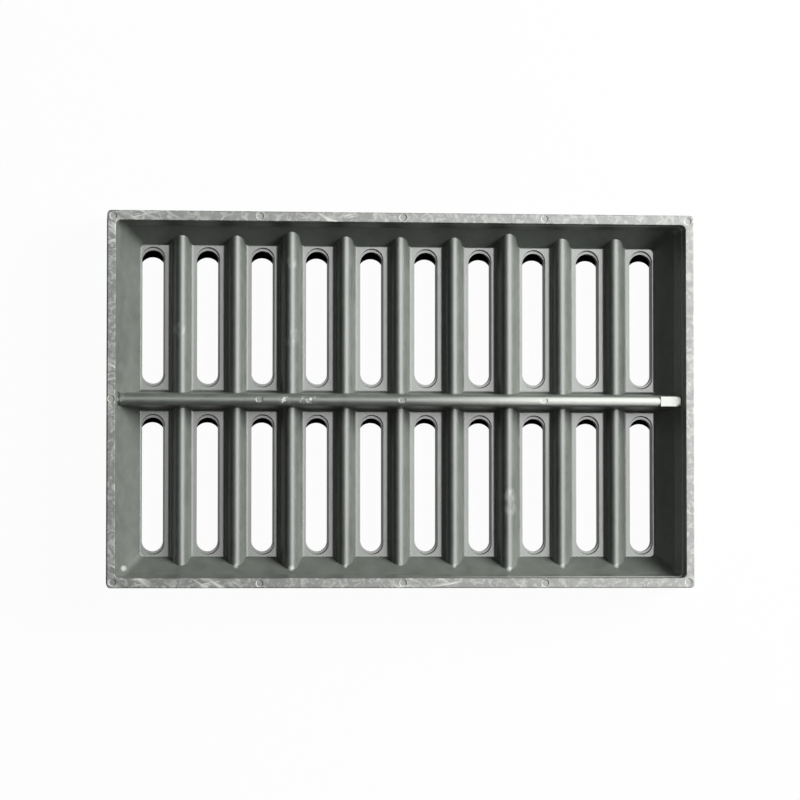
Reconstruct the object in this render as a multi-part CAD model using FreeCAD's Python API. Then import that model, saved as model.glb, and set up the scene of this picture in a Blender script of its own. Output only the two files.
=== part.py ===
import FreeCAD, Part
import math
import os

# Gully grate: one moulding of glass-filled polyester, lying on its walking face.
# Millimetres. X runs along the grate, Y across it, and Z up from the surface it lies on,
# so the anti-slip pattern looks down and the ribbed underside looks up.

# Outside, measured over the rim
length = 700.0
width = 445.0
outer_corner_radius = 5.0
outer_draft_deg = 1.5

# Heights, one above the other from the walking face
pattern_height = 3.0
plate_thickness = 14.0
frame_depth = 43.0

# Frame walls in section: the flat rim, a steep upper part, and a sloped foot on the plate
rim_width_ends = 9.5
rim_width_sides = 11.5
steep_run_ends = 11.0
steep_run_sides = 5.0
slope_run = 20.5
slope_rise = 24.0
room_corner_radius = 6.0
wall_foot_radius = 2.5
rim_outer_edge_radius = 1.2
rim_inner_edge_radius = 0.8
walking_edge_radius = 2.5

# Slots, in two rows, narrowest at the walking face so that nothing jams in them
slot_columns = 10
slot_width = 25.0
slot_side_draft = 1.5
slot_end_draft = 4.0
slot_gap_to_end_wall = 1.5
slot_gap_at_ends = 2.5

# Cross ribs, one between each two columns of slots; two of them are taller
rib_height = 12.0
rib_draft_deg = 30.0
rib_crest_flat = 2.0
rib_crest_radius = 6.0
rib_foot_radius = 4.0
tall_rib_height = 17.5
tall_rib_draft_deg = 24.0
tall_rib_places = (3, 7)

# Middle rib, along the grate
mid_rib_height = 36.5
mid_rib_draft_deg = 6.0
mid_rib_crest_flat = 5.0
mid_rib_crest_radius = 4.5
mid_rib_foot_radius = 3.5

# Flat land on the middle rib's right end
land_length = 19.5
land_width = 11.5
land_height = 0.4
land_gap_to_rim = 10.0

# Anti-slip bars of the walking face, set herringbone fashion
bar_length = 32.0
bar_width = 9.0
bar_side_slope = 1.2
bar_angle_deg = 45.0
bar_rows = 9

# How far shapes reach into each other before they are joined, and how near counts as equal
overlap = 4.0
near = 1e-3

plate_low = pattern_height
plate_top = plate_low + plate_thickness
bend_level = plate_top + slope_rise
rim_level = plate_top + frame_depth
crest_level = plate_top + mid_rib_height

# Room inside the frame: at the rim, at the bend of the walls, and between the walls' feet
rim_room = (length - 2 * rim_width_ends, width - 2 * rim_width_sides)
bend_room = (rim_room[0] - 2 * steep_run_ends, rim_room[1] - 2 * steep_run_sides)
foot_room = (bend_room[0] - 2 * slope_run, bend_room[1] - 2 * slope_run)


def vector(x, y, z):
    """Point or direction."""
    return FreeCAD.Vector(x, y, z)


def line(start, end):
    """Straight edge."""
    return Part.LineSegment(start, end).toShape()


def arc(centre, radius, start_deg, end_deg, across):
    """Round edge between two angles; across is the second axis of its plane, after X."""
    points = []
    for turn in (start_deg, (start_deg + end_deg) / 2, end_deg):
        angle = math.radians(turn)
        reach = vector(1, 0, 0) * math.cos(angle) + across * math.sin(angle)
        points.append(centre + reach * radius)
    return Part.Arc(*points).toShape()


def closed(edges):
    """Wire of edges that follow each other, with straight edges across the gaps between them."""
    wire = []
    for index, edge in enumerate(edges):
        following = edges[(index + 1) % len(edges)]
        end = edge.valueAt(edge.LastParameter)
        start = following.valueAt(following.FirstParameter)
        wire.append(edge)
        if end.distanceToPoint(start) > near:
            wire.append(line(end, start))
    return Part.Wire(wire)


def rounded_rectangle(size_x, size_y, radius, level):
    """Closed outline centred on the origin, with its four corners rounded."""
    far_x = size_x / 2 - radius
    far_y = size_y / 2 - radius
    centres = ((far_x, far_y), (-far_x, far_y), (-far_x, -far_y), (far_x, -far_y))
    corners = []
    for index, (x, y) in enumerate(centres):
        start = 90 * index
        corners.append(arc(vector(x, y, level), radius, start, start + 90, vector(0, 1, 0)))
    return closed(corners)


def slot_outline(size_x, size_y, level):
    """Round-ended slot outline, long along Y."""
    radius = size_x / 2
    far_y = size_y / 2 - radius
    top = arc(vector(0, far_y, level), radius, 0, 180, vector(0, 1, 0))
    bottom = arc(vector(0, -far_y, level), radius, 180, 360, vector(0, 1, 0))
    return closed([top, bottom])


def lofted(outlines):
    """Solid through closed outlines, with its flat sides as true planes."""
    faces = []
    for face in Part.makeLoft(outlines, True, True).Faces:
        plane = face.findPlane(near)
        faces.append(Part.Face(plane, face.OuterWire) if plane else face)
    return Part.makeSolid(Part.makeShell(faces))


def at_level(shape, level):
    """Edges of a shape that lie in one horizontal plane."""
    return [
        edge
        for edge in shape.Edges
        if abs(edge.BoundBox.ZMin - level) < near and abs(edge.BoundBox.ZMax - level) < near
    ]


def inside(edge, size):
    """Whether an edge stays within a centred rectangle in plan."""
    box = edge.BoundBox
    reach_x = max(box.XMax, -box.XMin)
    reach_y = max(box.YMax, -box.YMin)
    return reach_x < size[0] / 2 + near and reach_y < size[1] / 2 + near


def placed(shape, x, y, turn_deg=0.0):
    """Copy of a shape, turned about Z and then moved in plan."""
    copy = shape.copy()
    copy.rotate(vector(0, 0, 0), vector(0, 0, 1), turn_deg)
    copy.translate(vector(x, y, 0))
    return copy


def rib_bar(height, draft_deg, crest_flat, crest_radius, foot_radius, run):
    """Rib along Y on the plate: drafted flanks, rounded crest and hollow foot fillets.
    Returns the bar and the half width of its foot."""
    draft = math.radians(draft_deg)
    up = vector(0, 0, 1)
    crest_x = crest_flat / 2
    crest_z = height - crest_radius
    shoulder_x = crest_x + crest_radius * math.cos(draft)
    shoulder_z = crest_z + crest_radius * math.sin(draft)
    flank_drop = shoulder_z - foot_radius * (1 - math.sin(draft))
    foot_x = shoulder_x + flank_drop * math.tan(draft) + foot_radius * math.cos(draft)
    right_foot = arc(vector(foot_x, 0, foot_radius), foot_radius, 270, 180 + draft_deg, up)
    right_crest = arc(vector(crest_x, 0, crest_z), crest_radius, draft_deg, 90, up)
    left_crest = arc(vector(-crest_x, 0, crest_z), crest_radius, 90, 180 - draft_deg, up)
    left_foot = arc(vector(-foot_x, 0, foot_radius), foot_radius, -draft_deg, -90, up)
    base = line(vector(-foot_x, 0, -overlap), vector(foot_x, 0, -overlap))
    outline = closed([right_foot, right_crest, left_crest, left_foot, base])
    bar = Part.Face(outline).extrude(vector(0, run, 0))
    bar.translate(vector(0, -run / 2, plate_top))
    return bar, foot_x


def frame_tray():
    """Plate and outer walls as one open tray, before slots and ribs."""
    drawn_in = 2 * (rim_level - plate_low) * math.tan(math.radians(outer_draft_deg))
    block = lofted(
        [
            rounded_rectangle(length - drawn_in, width - drawn_in, outer_corner_radius, plate_low),
            rounded_rectangle(length, width, outer_corner_radius, rim_level),
        ]
    )
    block = block.makeFillet(walking_edge_radius, at_level(block, plate_low))
    block = block.makeFillet(rim_outer_edge_radius, at_level(block, rim_level))
    room = lofted(
        [
            rounded_rectangle(*foot_room, room_corner_radius, plate_top),
            rounded_rectangle(*bend_room, room_corner_radius, bend_level),
            rounded_rectangle(*rim_room, room_corner_radius, rim_level),
        ]
    )
    room = room.makeFillet(wall_foot_radius, at_level(room, plate_top))
    tray = block.cut(room)
    mouth = [edge for edge in at_level(tray, rim_level) if inside(edge, rim_room)]
    return tray.makeFillet(rim_inner_edge_radius, mouth)


def slot_cutter(mouth_length):
    """Space of one slot, centred on the origin in plan."""
    narrow = (slot_width, mouth_length - 2 * slot_end_draft)
    mouth = (mouth_width, mouth_length)
    return lofted(
        [
            slot_outline(*narrow, 0),
            slot_outline(*narrow, plate_low),
            slot_outline(*mouth, plate_top),
            slot_outline(*mouth, plate_top + overlap),
        ]
    )


def grip_bar():
    """One anti-slip bar under the plate, centred on the origin in plan, its sides sloped."""
    half_x = bar_length / 2
    half_y = bar_width / 2
    tip_x = half_x - bar_side_slope
    tip_y = half_y - bar_side_slope
    wedge = Part.makeWedge(
        -half_x, 0, -half_y, -tip_y, -tip_x, half_x, pattern_height, half_y, tip_y, tip_x
    )
    wedge.rotate(vector(0, 0, 0), vector(1, 0, 0), -90)
    wedge.translate(vector(0, 0, pattern_height))
    return wedge


# Middle rib and the bay that it leaves on each side for the slots
mid_rib, mid_rib_half = rib_bar(
    mid_rib_height,
    mid_rib_draft_deg,
    mid_rib_crest_flat,
    mid_rib_crest_radius,
    mid_rib_foot_radius,
    (rim_room[0] + bend_room[0]) / 2,
)
bay = foot_room[1] / 2 - mid_rib_half
slot_length = bay - 2 * slot_gap_at_ends
row_y = mid_rib_half + bay / 2

# Columns of slots across the plate, and the ribs half way between them
mouth_width = slot_width + 2 * slot_side_draft
last_column_x = foot_room[0] / 2 - slot_gap_to_end_wall - mouth_width / 2
pitch = 2 * last_column_x / (slot_columns - 1)
column_x = [-last_column_x + pitch * index for index in range(slot_columns)]
rib_x = [x + pitch / 2 for x in column_x[:-1]]
ribs = [placed(mid_rib, 0, 0, 90)]
for place, x in enumerate(rib_x, start=1):
    tall = place in tall_rib_places
    rib, rib_half = rib_bar(
        tall_rib_height if tall else rib_height,
        tall_rib_draft_deg if tall else rib_draft_deg,
        rib_crest_flat,
        rib_crest_radius,
        rib_foot_radius,
        (rim_room[1] + bend_room[1]) / 2,
    )
    ribs.append(placed(rib, x, 0))

# Flat land near the right end of the middle rib
land_x = rim_room[0] / 2 - land_gap_to_rim - land_length
land = Part.makeBox(land_length, land_width, mid_rib_crest_radius + land_height)
land.translate(vector(land_x, -land_width / 2, crest_level - mid_rib_crest_radius))
ribs.append(land)

# Anti-slip bars: a line of them on each strip beside the slots, and one at each end of a slot
slot_tip_y = row_y + slot_length / 2 - slot_end_draft
outer_bar_y = (slot_tip_y + width / 2) / 2
outer_strip_x = (last_column_x + slot_width / 2 + length / 2) / 2
bar_step = 2 * outer_bar_y / (bar_rows - 1)
bar_y = [-outer_bar_y + bar_step * index for index in range(bar_rows)]
bar_places = [(x, y) for x in (-outer_strip_x, *rib_x, outer_strip_x) for y in bar_y]
bar_places += [(x, y) for x in column_x for y in (-outer_bar_y, 0, outer_bar_y)]
grip = grip_bar()
bars = []
for index, (x, y) in enumerate(bar_places):
    turn = bar_angle_deg if index % 2 else -bar_angle_deg
    bars.append(placed(grip, x, y, turn))

slots = [placed(slot_cutter(slot_length), x, y) for x in column_x for y in (-row_y, row_y)]
grate = frame_tray().fuse(ribs).fuse(bars).cut(slots).removeSplitter()

os.makedirs("parts", exist_ok=True)
grate.exportStep("parts/grate.step")
print("solids", len(grate.Solids), "valid", grate.isValid(), "volume", round(grate.Volume))
print("slot length", round(slot_length, 2), "pitch", round(pitch, 2), "rows at", round(row_y, 2))
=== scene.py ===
# %% [markdown]
# # Gully grate, seen from its ribbed underside
# This lesson dresses one moulding of glass-filled polyester: a road gully's grate, lying on the face
# that people walk on. The solid itself comes from a CAD model. Here it gets the small marks of its
# mould, a surface that looks pressed from grey moulding compound and then dragged about a yard,
# soft light, a pale floor and a camera.

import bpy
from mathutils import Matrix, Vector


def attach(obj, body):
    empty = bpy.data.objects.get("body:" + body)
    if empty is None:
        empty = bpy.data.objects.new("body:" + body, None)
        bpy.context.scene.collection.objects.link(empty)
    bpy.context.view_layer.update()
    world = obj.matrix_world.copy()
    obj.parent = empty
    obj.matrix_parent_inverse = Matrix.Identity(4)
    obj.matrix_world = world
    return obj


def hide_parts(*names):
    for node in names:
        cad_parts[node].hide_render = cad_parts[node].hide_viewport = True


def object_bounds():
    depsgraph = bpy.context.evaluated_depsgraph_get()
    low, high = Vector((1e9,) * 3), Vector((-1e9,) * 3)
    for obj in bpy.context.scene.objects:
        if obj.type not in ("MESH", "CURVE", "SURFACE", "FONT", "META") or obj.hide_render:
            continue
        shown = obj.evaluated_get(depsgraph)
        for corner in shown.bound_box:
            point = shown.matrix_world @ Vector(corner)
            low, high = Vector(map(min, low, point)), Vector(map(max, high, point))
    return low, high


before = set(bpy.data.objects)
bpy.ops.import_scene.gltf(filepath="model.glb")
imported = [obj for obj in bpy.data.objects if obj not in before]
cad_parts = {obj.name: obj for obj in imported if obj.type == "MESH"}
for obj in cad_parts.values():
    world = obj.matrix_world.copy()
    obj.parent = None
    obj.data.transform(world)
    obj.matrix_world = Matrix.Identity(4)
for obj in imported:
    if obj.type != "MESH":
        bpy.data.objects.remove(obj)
cad_low, cad_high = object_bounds()
print("CAD box in metres:", [round(v, 4) for v in cad_low], [round(v, 4) for v in cad_high])

# %% [markdown]
# ## Modules and the unit
# Blender's own modules make the meshes, materials and lamps. Blender counts in metres and a grate is
# drawn in millimetres, so each measure below is written as a number of mm.

# %% Modules and the unit
import math

import bmesh
import bpy
from mathutils import Matrix, Vector

mm = 0.001
scene = bpy.context.scene
print("one millimetre is", mm, "m in Blender", bpy.app.version_string)

# %% [markdown]
# ## Measures of the grate
# The CAD model was made in millimetres, and the same few numbers place everything below: the levels
# of the rim and of the middle rib's crest, the grid of slots, and the outer size, which comes from
# the loaded frame. Heights are counted from the floor that the grate lies on.

# %% Name the measures
rim_level = cad_high.z
crest_level = 53.5 * mm
plate_low = 3 * mm
plate_top = 17 * mm
half_length = cad_high.x
half_width = cad_high.y
slot_columns = 10
slot_pitch = 65.22 * mm
slot_row_y = 99.52 * mm
slot_half_width = 12.5 * mm
slot_half_length = 79.48 * mm
slot_side_draft = 1.5 * mm
slot_end_draft = 4 * mm
slot_x = [slot_pitch * (column - (slot_columns - 1) / 2) for column in range(slot_columns)]
slots = [(x, y) for x in slot_x for y in (-slot_row_y, slot_row_y)]
print("slots:", len(slots), "first at", [round(v / mm, 1) for v in slots[0]], "mm")


# %% [markdown]
# ## A helper for new pieces
# Each new piece is a mesh from a list of points and a list of faces. It lands in the scene as one
# object with one material, shaded smooth except where two faces meet at a clear angle, as a moulded
# piece looks.


# %% Make one piece
smooth_up_to = math.radians(35)


def piece(name, points, faces, material):
    """Object from points and faces, smooth apart from its clear edges."""
    mesh = bpy.data.meshes.new(name)
    mesh.from_pydata(points, [], faces)
    shape = bmesh.new()
    shape.from_mesh(mesh)
    bmesh.ops.recalc_face_normals(shape, faces=shape.faces)
    shape.to_mesh(mesh)
    shape.free()
    mesh.shade_smooth()
    mesh.set_sharp_from_angle(angle=smooth_up_to)
    mesh.materials.append(material)
    obj = bpy.data.objects.new(name, mesh)
    scene.collection.objects.link(obj)
    return obj


moulding_material = bpy.data.materials.new("glass_filled_polyester")
print("material made, to be filled in below:", moulding_material.name)

# %% [markdown]
# ## Ejector marks
# A mould pushes its part out with steel pins. Each pin leaves a shallow round dent where it stood,
# here on the rim and along the crest of the middle rib. A texture could fake them, but a real dent
# catches the light on its far side and shades its near side, so they are cut from the mesh.

# %% Place the pins
pin_radius = 4.6 * mm
pin_tip_radius = 3.4 * mm
pin_depth = 0.6 * mm
pin_clearance = 1 * mm
pin_sides = 20
side_rim_inset = 5.75 * mm
end_rim_inset = 4.75 * mm
corner_inset = 7 * mm
pin_x = (-170 * mm, 0, 170 * mm)
side_rim_y = half_width - side_rim_inset
corner_pin = Vector((half_length - corner_inset, half_width - corner_inset))
pins = [(x, y, rim_level) for x in pin_x for y in (-side_rim_y, side_rim_y)]
pins += [(x, y, rim_level) for x in (-corner_pin.x, corner_pin.x) for y in (-corner_pin.y, corner_pin.y)]
pins += [(-half_length + end_rim_inset, 0, rim_level)]
pins += [(x, 0, crest_level) for x in pin_x]
print("pins:", len(pins))

# %% [markdown]
# ## A cutter for the pins
# A pin's dent has a sloped side that catches the light, so each pin is a short cone cut off at both
# ends. It starts 1 mm above the surface that it cuts, because a Boolean works more surely when no
# two faces lie in one plane. All the cones are one mesh, so that one cut makes all the dents.


# %% Shape the pins
def pin_cutter():
    """All pins as one mesh of short cones, each reaching above its surface."""
    points, faces = [], []
    slope = (pin_radius - pin_tip_radius) / pin_depth
    rings = ((pin_tip_radius, -pin_depth), (pin_radius + slope * pin_clearance, pin_clearance))
    for x, y, z in pins:
        first = len(points)
        for radius, rise in rings:
            for side in range(pin_sides):
                turn = 2 * math.pi * side / pin_sides
                points.append((x + radius * math.cos(turn), y + radius * math.sin(turn), z + rise))
        for side in range(pin_sides):
            other = (side + 1) % pin_sides
            lower = (first + side, first + other)
            faces.append((*lower, lower[1] + pin_sides, lower[0] + pin_sides))
        faces.append(tuple(first + side for side in reversed(range(pin_sides))))
        faces.append(tuple(first + pin_sides + side for side in range(pin_sides)))
    return piece("pins", points, faces, moulding_material)


print("corners in the pins' outlines:", 2 * pin_sides * len(pins))

# %% [markdown]
# ## The middle rib's round crest
# The crest of the middle rib is rounder than the CAD solid has it: a full arch and not a flat between
# two rounds. A bevel would round only the shoulders. So the second cutter is a long bar with an
# arched underside, which planes the whole crest to one arc, from the left wall to the small flat
# land near the right end.

# %% Shape the crest bar
crest_round = 9 * mm
crest_axis = crest_level - crest_round
crest_reach = 8 * mm
crest_from = -337.6 * mm
crest_to = 311 * mm
arch_steps = 24


def crest_cutter():
    """A bar along the middle rib whose underside is the arch that the crest gets."""
    section = [(crest_reach, rim_level), (-crest_reach, rim_level)]
    for step in range(arch_steps + 1):
        y = crest_reach * (2 * step / arch_steps - 1)
        section.append((y, crest_axis + math.sqrt(crest_round**2 - y**2)))
    count = len(section)
    points = [(x, y, z) for x in (crest_from, crest_to) for y, z in section]
    faces = [tuple(range(count)), tuple(reversed(range(count, 2 * count)))]
    for step in range(count):
        other = (step + 1) % count
        faces.append((step, other, other + count, step + count))
    return piece("crest_bar", points, faces, moulding_material)


print("crest bar:", round((crest_to - crest_from) / mm, 1), "mm long")

# %% [markdown]
# ## The two cuts
# Two Booleans take the cutters away from a copy of the moulding, first the bar and then the pins, so
# that the dents of the crest lie in its new arch. The exact solver keeps the rest of the mesh as it
# is. Each cutter is deleted once its cut is part of the mesh.


# %% Cut
def evaluated_mesh(obj):
    """Mesh of an object with its modifiers applied."""
    graph = bpy.context.evaluated_depsgraph_get()
    return bpy.data.meshes.new_from_object(
        obj.evaluated_get(graph), preserve_all_data_layers=True, depsgraph=graph
    )


plain_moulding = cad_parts["grate"]
moulding = bpy.data.objects.new("marked_moulding", plain_moulding.data.copy())
scene.collection.objects.link(moulding)
for cutter in (crest_cutter(), pin_cutter()):
    cut = moulding.modifiers.new("cut", "BOOLEAN")
    cut.operation = "DIFFERENCE"
    cut.solver = "EXACT"
    cut.object = cutter
    cut_mesh = evaluated_mesh(moulding)
    moulding.modifiers.clear()
    moulding.data = cut_mesh
    bpy.data.objects.remove(cutter)
print("faces before", len(plain_moulding.data.polygons), "and after", len(cut_mesh.polygons))


# %% [markdown]
# ## Smooth shading after the cuts
# The cuts leave the smooth normals of the copy in disorder. So each corner that the untouched
# moulding has too gets its old normal back, matched by its place and by the side that its face looks
# to. A corner on the new arch gets the arch's own direction, and one in a dent its face's.

# %% Give the normals back
near = 0.002 * mm
arch_tolerance = 20 * near
same_side = 0.97


def arch_normal(at, face_normal):
    """Direction of the round crest at a point on it, or none for a point elsewhere."""
    out = Vector((0, at.y, at.z - crest_axis))
    along_arch = crest_from - near < at.x < crest_to + near
    on_arch = abs(out.length - crest_round) < arch_tolerance and along_arch
    out.normalize()
    return out if on_arch and out.dot(face_normal) > same_side else None


def keep_normals(mesh, source):
    """Gives each corner of a mesh the normal it had in its source, and new corners a fitting one."""
    known = {}
    for face in source.polygons:
        for corner in face.loop_indices:
            at = source.vertices[source.loops[corner].vertex_index].co
            key = tuple(round(v / near) for v in at)
            known.setdefault(key, []).append((face.normal, source.corner_normals[corner].vector))
    normals = []
    for face in mesh.polygons:
        for corner in face.loop_indices:
            at = mesh.vertices[mesh.loops[corner].vertex_index].co
            candidates = known.get(tuple(round(v / near) for v in at))
            if candidates:
                best = max(candidates, key=lambda pair: pair[0].dot(face.normal))
                normals.append(best[1].copy())
            else:
                normals.append(arch_normal(at, face.normal) or face.normal.copy())
    mesh.normals_split_custom_set(normals)


keep_normals(cut_mesh, plain_moulding.data)
print("corners with a normal of their own:", len(cut_mesh.loops))

# %% [markdown]
# ## Painted highlights on the dents
# The sloped sides of the dents get a painted highlight, a pale ring in the colour. They are the faces
# that are neither flat nor upright and lie wholly within a pin's circle, and a number on each of them
# tells the material so. Then the cut copy takes the place of the plain moulding.

# %% Mark the dents
steepest = 0.3
flattest = 0.95


def mark_pin_edges(mesh):
    """Sets the attribute pin_highlight_faces to 1 on the sloped sides of the dents."""
    # These faces carry the pale ring of a painted highlight.
    marks = mesh.attributes.new("pin_highlight_faces", "FLOAT", "FACE")
    for face in mesh.polygons:
        if steepest < face.normal.z < flattest:
            corners = [mesh.vertices[corner].co for corner in face.vertices]
            marks.data[face.index].value = any(
                all(math.hypot(at.x - x, at.y - y) < pin_radius + near for at in corners)
                for x, y, z in pins
            )
    return int(sum(mark.value for mark in marks.data))


print("sloped faces in the dents:", mark_pin_edges(cut_mesh))
moulding.data.materials.clear()
moulding.data.materials.append(moulding_material)
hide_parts("grate")
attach(moulding, "root")

# %% [markdown]
# ## Ledges at the slots' ends
# The core that forms a slot is in two parts, and where they meet, near the slot's ends, a narrow
# ledge stays: seen from above, a pale new moon between the dark drop from the plate and the hole.
# Each ledge is a thin prism whose outline lies between two arcs. The outer arc follows the slot's
# wall and is sunk into it a little, and the inner one is the same arc moved towards the slot's
# middle, so the ledge runs out to nothing at both sides by itself.

# %% Shape one ledge
ledge_level = 13 * mm
ledge_foot = 4 * mm
ledge_sunk = 0.5 * mm
ledge_steps = 16
share_of_depth = (ledge_level - plate_low) / (plate_top - plate_low)
ledge_radius = slot_half_width + slot_side_draft * share_of_depth
ledge_tip = slot_half_length + slot_end_draft * share_of_depth
ledge_reach = slot_end_draft * share_of_depth


def ledge(middle, side):
    """Points and faces of one ledge at the end of a slot; side is 1 for +Y and -1 for -Y."""
    points = []
    centre = ledge_tip - ledge_radius
    for level in (ledge_foot, ledge_level):
        for radius, at in ((ledge_radius + ledge_sunk, centre), (ledge_radius, centre - ledge_reach)):
            for step in range(ledge_steps + 1):
                turn = math.pi * step / ledge_steps
                x = radius * math.cos(turn)
                y = at + radius * math.sin(turn)
                points.append((middle[0] + x, middle[1] + side * y, level))
    row = ledge_steps + 1
    low_out, low_in, top_out, top_in = (row * index for index in range(4))
    strips = ((low_out, low_in), (low_in, top_in), (top_in, top_out), (top_out, low_out))
    faces = []
    for step in range(ledge_steps):
        for one, two in strips:
            faces.append((one + step, one + step + 1, two + step + 1, two + step))
    for step in (0, ledge_steps):
        faces.append((low_out + step, low_in + step, top_in + step, top_out + step))
    return points, faces


print("ledge:", round(ledge_reach / mm, 2), "mm wide at its middle")

# %% [markdown]
# ## Forty ledges as one piece
# The ledges are alike and belong to the same moulding, so one mesh holds them all. Each slot has one
# at either end, and the second is the first one's mirror image.

# %% Place the ledges
points, faces = [], []
for middle in slots:
    for side in (-1, 1):
        first = len(points)
        more_points, more_faces = ledge(middle, side)
        points += more_points
        faces += [tuple(first + corner for corner in face) for face in more_faces]
ledges = piece("slot_ledges", points, faces, moulding_material)
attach(ledges, "root")
print("ledges:", 2 * len(slots), "with", len(faces), "faces")


# %% [markdown]
# ## Section of a cross rib
# The ribs between the slots are full and round, so that the compound flows into them and lets go of
# the mould easily. The CAD solid has them a little slimmer, with flanks that slope more. Here each
# gets its full section: a broad round crest, steep flanks and a hollow at the foot. The width of the
# foot is given, and the radius of the crest follows from it.

# %% Shape the section
low_rib = 12.2 * mm
tall_rib = 17.7 * mm
rib_reach = {low_rib: 15.0 * mm, tall_rib: 17.0 * mm}
rib_foot = 5 * mm
rib_draft = math.radians(18)
rib_sunk = 1 * mm
foot_steps = 10
crest_steps = 22


def rib_section(height):
    """Outline of a rib from left to right, heights counted from the plate."""
    sine, cosine, tangent = math.sin(rib_draft), math.cos(rib_draft), math.tan(rib_draft)
    reach = rib_reach[height]
    spare = reach - rib_foot * cosine - (height - rib_foot * (1 - sine)) * tangent
    crest = spare / (cosine - (1 - sine) * tangent)
    foot = []
    for step in range(foot_steps + 1):
        turn = (math.pi / 2 - rib_draft) * step / foot_steps
        foot.append((-reach + rib_foot * math.sin(turn), rib_foot * (1 - math.cos(turn))))
    top = []
    for step in range(crest_steps + 1):
        turn = (math.pi / 2 - rib_draft) * (2 * step / crest_steps - 1)
        top.append((crest * math.sin(turn), height - crest * (1 - math.cos(turn))))
    right_foot = [(-x, z) for x, z in reversed(foot)]
    return [(-reach, -rib_sunk), *foot, *top, *right_foot, (reach, -rib_sunk)]


print("corners in a rib's section:", len(rib_section(low_rib)))

# %% [markdown]
# ## Nine cross ribs
# The section is drawn out along each rib, and its ends run into the frame's walls, which trim it by
# themselves. The third and the seventh rib are taller than the others, as in the photograph.

# %% Build the ribs
tall_places = (3, 7)
rib_end = 208 * mm
rib_heights = [tall_rib if place in tall_places else low_rib for place in range(1, slot_columns)]
points, faces = [], []
for place, height in enumerate(rib_heights):
    section = rib_section(height)
    rib_x = slot_x[place] + slot_pitch / 2
    first = len(points)
    for end in (-rib_end, rib_end):
        points += [(rib_x + x, end, plate_top + z) for x, z in section]
    count = len(section)
    for step in range(count - 1):
        near_end = first + step
        faces.append((near_end, near_end + 1, near_end + 1 + count, near_end + count))
ribs = piece("cross_ribs", points, faces, moulding_material)
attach(ribs, "root")
print("ribs:", len(rib_heights), "with", len(faces), "faces")


# %% [markdown]
# ## Nodes in few words
# A material is a graph of nodes. The one function below adds a node, sets its properties, sets its
# inputs or links them where a value is another node's output, and hands back one of its outputs.


# %% Add a node
def add(tree, kind, inputs=None, output=0, **settings):
    """One output of a new node, its settings made and its inputs set or linked."""
    node = tree.nodes.new("ShaderNode" + kind)
    for name, value in settings.items():
        setattr(node, name, value)
    for name, value in (inputs or {}).items():
        if isinstance(value, bpy.types.NodeSocket):
            tree.links.new(value, node.inputs[name])
        else:
            node.inputs[name].default_value = value
    return node.outputs[output] if len(node.outputs) else None


def emptied_tree(material):
    """Node tree of a material with nothing in it yet."""
    material.use_nodes = True
    material.node_tree.nodes.clear()
    return material.node_tree


tree = emptied_tree(moulding_material)
print("nodes in the moulding's material so far:", len(tree.nodes))

# %% [markdown]
# ## How high on the moulding
# Glass-filled polyester comes out of the press dark grey-green and half shiny. What breaks that up
# on a used grate sits in certain places, so the material first needs to know where a point is. Its
# height alone tells the rim and the crest of the middle rib from all the rest.

# %% Tell the levels apart
place = add(tree, "TexCoord", output="Object")
along = add(tree, "SeparateXYZ", {0: place}, output="X")
height = add(tree, "SeparateXYZ", {0: place}, output="Z")
soft = {"interpolation_type": "SMOOTHSTEP"}
levels = {
    "rim": (rim_level - 0.9 * mm, rim_level - 0.3 * mm),
    "crest": (crest_level - 2.0 * mm, crest_level - 0.3 * mm),
    "over_crest": (crest_level + 1 * mm, crest_level + 2 * mm),
}
on = {
    name: add(tree, "MapRange", {"Value": height, "From Min": low, "From Max": high}, **soft)
    for name, (low, high) in levels.items()
}
on["crest"] = add(
    tree, "Math", {0: on["crest"], 1: on["over_crest"]}, operation="SUBTRACT", use_clamp=True
)
print("levels known:", ", ".join(on))

# %% [markdown]
# ## Where in plan
# A few round spots say where the grate was dragged, knocked or smeared, where highlights are painted
# at the ribs' ends, and where its land is, whose sheen is painted. Each has its place and its radius
# in millimetres, and it fades out from its core to its edge.

# %% Mark the spots
spots_mm = {
    "drags": [
        (-300, 217, 42),
        (-345, 190, 34),
        (-84, 217, 48),
        (-330, -217, 40),
        (-228, -217, 42),
        (28, -217, 62),
        (-345, 20, 34),
    ],
    "knocks": [(-140, 0, 9), (-112, 0, 14), (-336, 1, 8)],
    "smears": [(131, -112, 11), (132, -128, 10), (-264, 84, 10), (-131, 164, 9), (-131, 76, 14)],
    # pale dots at the ribs' ends and a corner: painted highlights
    "painted_glints": [
        (-329, -199, 4.5),
        (-130.4, -199, 4.5),
        (-195.7, -196.5, 3.5),
        (-65.2, -196.5, 3),
        (65.2, -196.5, 3),
        (130.4, -200, 4),
        (195.7, -196.5, 3.5),
        (260.9, -196.5, 3.5),
    ],
    # the land, where the crest's painted sheen is palest
    "land": [(321, 0, 17)],
}
spot_core = 0.35
flat_place = add(tree, "VectorMath", {0: place, 1: (1, 1, 0)}, operation="MULTIPLY")
measured = {"output": "Value", "operation": "DISTANCE"}
for name, places in spots_mm.items():
    for x, y, radius in places:
        away = add(tree, "VectorMath", {0: flat_place, 1: (x * mm, y * mm, 0)}, **measured)
        limits = {"From Min": radius * mm, "From Max": spot_core * radius * mm}
        here = add(tree, "MapRange", {"Value": away, **limits}, **soft)
        if name in on:
            here = add(tree, "Math", {0: on[name], 1: here}, operation="MAXIMUM")
        on[name] = here
print("spots:", sum(len(places) for places in spots_mm.values()), "of kinds", ", ".join(spots_mm))

# %% [markdown]
# ## Patterns with real sizes
# Each pattern below is a noise whose patches have a size in millimetres: the slow flow of the
# compound in the mould, the small waves of its skin, how mottled it is, the strokes of two directions
# in which the grate was dragged, and the orange-peel grain, which is 0.4 mm in such a moulding and
# drawn at 1.6 mm, since anything finer would not show. A pattern is turned about the vertical, drawn
# out along one axis, and then spread so that its lower limit becomes 0 and its upper one 1.

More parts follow.
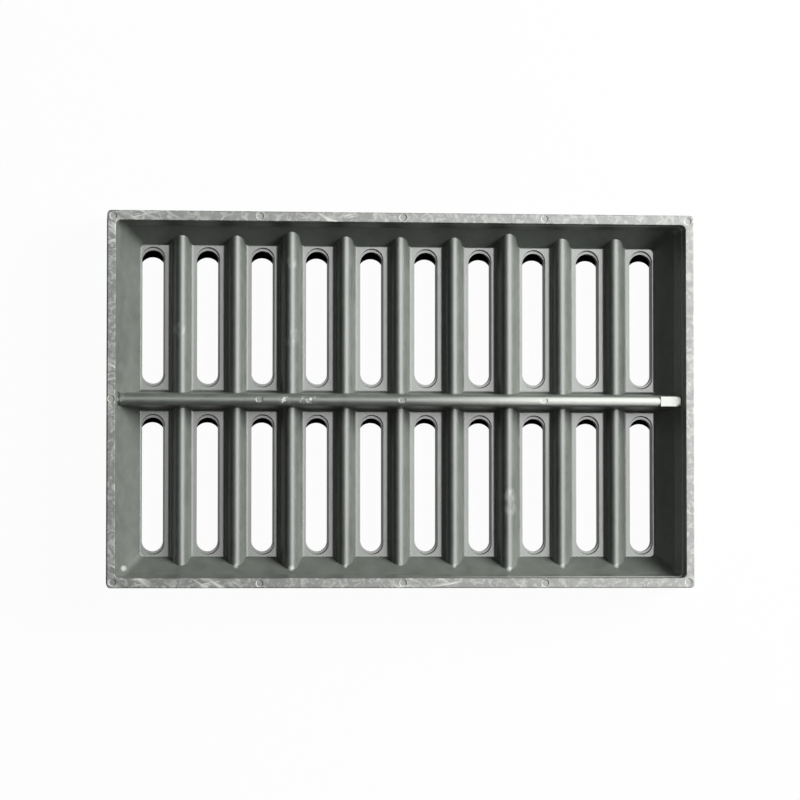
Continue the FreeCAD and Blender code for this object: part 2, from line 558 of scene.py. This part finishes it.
# %% Draw the patterns
no_stretch = (1, 1, 1)
noise_roughness = 0.58
step_between_noises = 5.0
patterns = {
    "flow": {"size": 45, "stretch": (1, 0.45, 1), "detail": 4, "bend": 0.6, "limits": (0.35, 0.65)},
    "waves": {"size": 5, "stretch": (1, 0.6, 1), "detail": 3, "limits": (0.2, 0.8)},
    "mottle": {"size": 12, "detail": 5, "limits": (0.3, 0.72)},
    "drag_one": {"size": 6, "turn": 28, "stretch": (0.16, 1, 1), "detail": 4, "limits": (0.48, 0.66)},
    "drag_two": {"size": 5, "turn": -10, "stretch": (0.12, 1, 1), "detail": 4, "limits": (0.52, 0.68)},
    "scuffs": {"size": 8, "detail": 4, "bend": 1.0, "limits": (0.44, 0.66)},
    "knocks": {"size": 3.5, "detail": 3, "limits": (0.50, 0.62)},
    "smears": {"size": 4, "stretch": (1, 0.25, 1), "detail": 3, "limits": (0.40, 0.70)},
    "grain": {"size": 1.6, "detail": 3, "limits": (0.2, 0.8)},
}
pattern = {}
for index, (name, recipe) in enumerate(patterns.items()):
    turn = {"Vector": place, "Angle": math.radians(recipe.get("turn", 0))}
    turned = add(tree, "VectorRotate", turn, rotation_type="Z_AXIS")
    drawn_out = {0: turned, 1: recipe.get("stretch", no_stretch)}
    vector = add(tree, "VectorMath", drawn_out, operation="MULTIPLY")
    values = {
        "Vector": vector,
        "W": step_between_noises * index,
        "Scale": 1 / (recipe["size"] * mm),
        "Detail": recipe["detail"],
        "Roughness": noise_roughness,
        "Distortion": recipe.get("bend", 0.0),
    }
    noise = add(tree, "TexNoise", values, noise_dimensions="4D")
    low, high = recipe["limits"]
    pattern[name] = add(tree, "MapRange", {"Value": noise, "From Min": low, "From Max": high}, **soft)
print("patterns:", ", ".join(pattern))

# %% [markdown]
# ## Wear and painted sheen on the rim
# The grate slides and stacks on its flat rim. So strokes show only there, strongly in the dragged
# places and faintly elsewhere, over soft scuffs. The rim's colour is also painted paler towards the
# right: a painted sheen.

# %% Wear the rim and paint its sheen
strokes_elsewhere = 0.10
scuff_strength = 0.5
# From here to its right end the rim's colour is painted paler: painted sheen.
rim_sheen_from = -200 * mm
both_drags = add(tree, "Math", {0: pattern["drag_one"], 1: pattern["drag_two"]}, operation="MAXIMUM")
where = add(tree, "Math", {0: on["drags"], 1: strokes_elsewhere}, operation="ADD", use_clamp=True)
strokes = add(tree, "Math", {0: both_drags, 1: where}, operation="MULTIPLY")
faint = add(tree, "Math", {0: pattern["scuffs"], 1: scuff_strength}, operation="MULTIPLY")
rim_wear = add(tree, "Math", {0: strokes, 1: faint}, operation="MAXIMUM")
rim_wear = add(tree, "Math", {0: rim_wear, 1: on["rim"]}, operation="MULTIPLY")
sheen_painted = {"Value": along, "From Min": rim_sheen_from, "From Max": half_length}
rim_painted_sheen = add(tree, "MapRange", sheen_painted)
rim_painted_sheen = add(tree, "Math", {0: rim_painted_sheen, 1: on["rim"]}, operation="MULTIPLY")
print("layers on the rim: strokes, scuffs, a cleaner right half")

# %% [markdown]
# ## Wear and painted highlights on the ribs
# Hooks and tools strike the crest of the middle rib, and a few knocks sit on it. Its colour is painted
# paler towards the land at its right end, and palest on the land: a painted sheen. There are pale
# smears on three cross ribs. Pale dots where ribs and corners meet the near wall, and pale rings on
# the sloped sides of all the ejector marks, are painted highlights.

# %% Wear the ribs and paint their highlights
# Pale rings on the dents' sides and dots at the ribs' ends are painted highlights; knocks and smears are
# wear.
pin_highlight_strength = 0.6
smear_strength = 0.5
glint_strength = 0.5
crest_sheen_from = -40 * mm
crest_sheen_to = 240 * mm
pin_highlight_faces = add(tree, "Attribute", output="Fac", attribute_name="pin_highlight_faces")
pin_highlight = add(tree, "Math", {0: pin_highlight_faces, 1: pin_highlight_strength}, operation="MULTIPLY")
knocks = add(tree, "Math", {0: pattern["knocks"], 1: on["knocks"]}, operation="MULTIPLY")
knocks = add(tree, "Math", {0: knocks, 1: on["crest"]}, operation="MULTIPLY")
smears = add(tree, "Math", {0: pattern["smears"], 1: on["smears"]}, operation="MULTIPLY")
smears = add(tree, "Math", {0: smears, 1: smear_strength}, operation="MULTIPLY")
painted_glints = add(tree, "Math", {0: on["painted_glints"], 1: glint_strength}, operation="MULTIPLY")
wear_and_painted_glints = rim_wear
for more in (pin_highlight, knocks, smears, painted_glints):
    wear_and_painted_glints = add(tree, "Math", {0: wear_and_painted_glints, 1: more}, operation="MAXIMUM", use_clamp=True)
# The crest's colour is painted paler towards its right end and on the land: painted sheen.
crest_sheen_span = {"Value": along, "From Min": crest_sheen_from, "From Max": crest_sheen_to}
painted_crest_sheen = add(tree, "MapRange", crest_sheen_span, **soft)
painted_crest_sheen = add(tree, "Math", {0: painted_crest_sheen, 1: on["crest"]}, operation="MULTIPLY")
land = add(tree, "Math", {0: on["land"], 1: on["crest"]}, operation="MULTIPLY")
painted_crest_sheen = add(tree, "Math", {0: painted_crest_sheen, 1: land}, operation="MAXIMUM")
print("layers on the ribs: pin edges, knocks, smears, dots, polish")

# %% [markdown]
# ## Colour
# The colours are laid over each other like thin coats, each with the share that its pattern or mask
# gives it: dark grey-green compound with a slow flow in its tone, a paler skin in patches, dust on the
# rim, a rim painted paler towards the right as painted sheen, a middle crest painted paler towards its
# right end as painted sheen, and the pale glass that rubbing lays bare, together with painted
# highlights on the dents' sides and at the ribs' ends. Picked colours are sRGB hex values, while a
# shader counts in linear light, so one function turns the first into the second.


# %% Lay the colours
def linear(hex_colour):
    """Linear RGBA of an sRGB hex colour such as '6a716a'."""
    values = [int(hex_colour[i : i + 2], 16) / 255 for i in (0, 2, 4)]
    return [v / 12.92 if v <= 0.04045 else ((v + 0.055) / 1.055) ** 2.4 for v in values] + [1.0]


skin_share = 0.35
dust_share = 0.7
compound = linear("545953")
skin = add(tree, "Math", {0: pattern["mottle"], 1: skin_share}, operation="MULTIPLY")
dusty = add(tree, "Math", {0: on["rim"], 1: dust_share}, operation="MULTIPLY")
colour = compound
for share, tone in (
    (pattern["flow"], "5f645e"),
    (skin, "757a73"),
    (dusty, "626461"),
    # paler rim towards the right: painted sheen
    (rim_painted_sheen, "80827f"),
    # paler middle crest towards its right end: painted sheen
    (painted_crest_sheen, "c8cbc4"),
    # rubbed-bare glass, together with painted highlights on the dents' sides and the ribs' ends
    (wear_and_painted_glints, "d2d5cf"),
):
    colour = add(tree, "Mix", {0: share, 6: colour, 7: linear(tone)}, output=2, data_type="RGBA")
print("the compound in linear light:", [round(v, 3) for v in compound[:3]])

# %% [markdown]
# ## Gloss and grain
# The skin of such a moulding is almost pure resin, so it carries a clear, slightly blurred sheen over
# the duller compound. The sheen is a coat here, thinner on the rim and the crest, where it is worn,
# and the mask of wear and painted highlights makes the surface below it rougher. The index 1.56 is
# that of cured polyester.

# %% Finish the material
polyester_ior = 1.56
smooth_compound = 0.36
rough_compound = 0.46
roughened_by_wear = 0.2
full_sheen = 1.0
worn_sheen = 0.27
sheen_blur = 0.42
crest_blur = 0.52
waves_share = 0.5
bump_strength = 0.3
bump_height = 0.2 * mm
dull = {"Value": pattern["mottle"], "To Min": smooth_compound, "To Max": rough_compound}
roughness = add(tree, "MapRange", dull)
worn_dull = add(tree, "Math", {0: wear_and_painted_glints, 1: roughened_by_wear}, operation="MULTIPLY")
roughness = add(tree, "Math", {0: roughness, 1: worn_dull}, operation="ADD")
rubbed = add(tree, "Math", {0: on["rim"], 1: on["crest"]}, operation="MAXIMUM")
sheen = add(tree, "MapRange", {"Value": rubbed, "To Min": full_sheen, "To Max": worn_sheen})
blur = add(tree, "MapRange", {"Value": on["crest"], "To Min": sheen_blur, "To Max": crest_blur})
uneven = {0: waves_share, 2: pattern["grain"], 3: pattern["waves"]}
relief = add(tree, "Mix", uneven, data_type="FLOAT")
bump = add(tree, "Bump", {"Height": relief, "Strength": bump_strength, "Distance": bump_height})
finish = {
    "Base Color": colour,
    "Roughness": roughness,
    "IOR": polyester_ior,
    "Coat Weight": sheen,
    "Coat IOR": polyester_ior,
    "Coat Roughness": blur,
    "Normal": bump,
}
surface = add(tree, "BsdfPrincipled", finish)
add(tree, "OutputMaterial", {"Surface": surface})
print("nodes in the moulding's material:", len(tree.nodes))

# %% [markdown]
# ## Floor
# The grate lies on a pale floor that the camera sees as white. The floor shows mostly its own white
# to the camera and through clear things, and some of it in reflections, by a share of emission that
# only those rays meet. The rest is an ordinary pale surface, so the grate's soft shadow stays in it.

# %% Lay the floor
floor_size = 12.0
floor_gap = 0.2 * mm
white_share = 0.97
glossy_share = 0.3
half_floor = floor_size / 2
paper = bpy.data.materials.new("white_paper_roll")
tree = emptied_tree(paper)
white = None
for ray, share in (
    ("Is Camera Ray", white_share),
    ("Is Transmission Ray", white_share),
    ("Is Glossy Ray", glossy_share),
):
    meets = add(tree, "LightPath", output=ray)
    part = add(tree, "Math", {0: meets, 1: share}, operation="MULTIPLY")
    white = part if white is None else add(tree, "Math", {0: white, 1: part}, operation="MAXIMUM")
pale = add(tree, "BsdfDiffuse", {"Color": linear("d0d0d0")})
glow = add(tree, "Emission", {"Color": (1, 1, 1, 1), "Strength": 1.0})
mixed = add(tree, "MixShader", {0: white, 1: pale, 2: glow})
add(tree, "OutputMaterial", {"Surface": mixed})
floor_corners = ((-1, -1), (1, -1), (1, 1), (-1, 1))
points = [(x * half_floor, y * half_floor, -floor_gap) for x, y in floor_corners]
floor = piece("pale_floor", points, [(0, 1, 2, 3)], paper)
print("floor:", floor_size, "m square")

# %% [markdown]
# ## Ground in shadow under the slots
# Where a slot's far end keeps the light off the ground below, the photograph shows a black new moon
# inside the white of the slot. The floor above is white to the camera whatever the light does, so
# these twenty patches of ground in shadow are laid on it as thin dark shapes. They belong to the
# setting and not to the grate.

# %% Lay the shaded patches
patch_rise = 0.2 * mm
patch_half_width = 15 * mm
patch_far = 86 * mm
patch_arc = 14 * mm
patch_arc_base = 15 * mm
patch_steps = 16
patch_depth = {1: 7.6 * mm, -1: 5.4 * mm}
shade = bpy.data.materials.new("ground_in_shadow")
tree = emptied_tree(shade)
dark = add(tree, "BsdfDiffuse", {"Color": linear("101010")})
add(tree, "OutputMaterial", {"Surface": dark})
points, faces = [], []
for x, y in slots:
    first = len(points)
    arc_centre = slot_half_length - patch_depth[1 if y > 0 else -1] - patch_arc
    for step in range(patch_steps + 1):
        across = patch_half_width * (2 * step / patch_steps - 1)
        rise = patch_arc * math.sqrt(1 - (across / patch_arc_base) ** 2)
        points.append((x + across, y + arc_centre + rise, patch_rise))
        points.append((x + across, y + patch_far, patch_rise))
    for step in range(patch_steps):
        start = first + 2 * step
        faces.append((start, start + 2, start + 3, start + 1))
patches = piece("shaded_ground", points, faces, shade)
print("patches:", len(slots))

# %% [markdown]
# ## A faint sky
# Light from all sides would flatten the ribs, whose far flanks are nearly black in the photograph.
# So the world is white but very faint, and the lamps do the work.

# %% World
sky_strength = 0.01
world = bpy.data.worlds.new("studio")
scene.world = world
world.use_nodes = True
background = world.node_tree.nodes["Background"].inputs
background["Color"].default_value = (1, 1, 1, 1)
background["Strength"].default_value = sky_strength
print("sky strength:", sky_strength)


# %% [markdown]
# ## Two lamps
# The key is a soft box low on the right and a little to the back. It lights the left wall and the
# right flank of each rib, and leaves what faces away from it dark. The second one is a large card
# almost overhead, leaning to the right, which the flat rim and the round crests mirror towards the
# camera: together with the sheen painted into the colour of the rim and of the middle crest, that is
# why the rim grows brighter from left to right. The photograph shows one broad highlight on each rib
# and deep shade beside it. So the key gives no highlight of its own, as behind a polarising filter,
# and the card gives only that highlight and adds no light to the shade.


# %% Lamps
def area_lamp(name, direction, distance, size, power):
    """Square soft lamp that looks at the middle of the grate from one direction."""
    lamp = bpy.data.lights.new(name, "AREA")
    lamp.size = size
    lamp.energy = power
    obj = bpy.data.objects.new(name, lamp)
    scene.collection.objects.link(obj)
    obj.location = Vector(direction).normalized() * distance
    obj.rotation_mode = "QUATERNION"
    obj.rotation_quaternion = (-obj.location).to_track_quat("-Z", "Y")
    print(name, "lamp at", [round(v, 2) for v in obj.location], "m with", power, "W")
    return obj


key = area_lamp("key", direction=(0.80, 0.30, 0.45), distance=3.5, size=2.0, power=300)
key.visible_glossy = False
sheen_card = area_lamp("sheen card", direction=(0.34, 0.19, 1.0), distance=3.2, size=2.4, power=130)
sheen_card.visible_diffuse = False

# %% [markdown]
# ## Camera
# The photograph looks almost straight down, from a little to the left and below the middle, so that
# the right wall looks narrower than the left one. A long lens keeps the slots parallel. The distance
# and the focal length together make the grate fill the same share of the picture.

# %% Camera
tilt_left = math.radians(6.5)
tilt_down = math.radians(2.4)
camera_distance = 4.5
sensor_width = 36
focal_length = 171
farthest_seen = 100
aim = Vector((-3.6 * mm, 0, rim_level))
back = Vector((-math.tan(tilt_left), -math.tan(tilt_down), 1)).normalized()
camera = bpy.data.cameras.new("camera")
camera.sensor_width = sensor_width
camera.lens = focal_length
camera.clip_end = farthest_seen
camera_object = bpy.data.objects.new("camera", camera)
scene.collection.objects.link(camera_object)
camera_object.location = aim + back * camera_distance
right = Vector((0, 1, 0)).cross(back).normalized()
axes = Matrix((right, back.cross(right), back)).transposed()
camera_object.rotation_mode = "QUATERNION"
camera_object.rotation_quaternion = axes.to_quaternion()
scene.camera = camera_object
scene.view_settings.view_transform = "Standard"
print("camera at", [round(v, 3) for v in camera_object.location], "m")
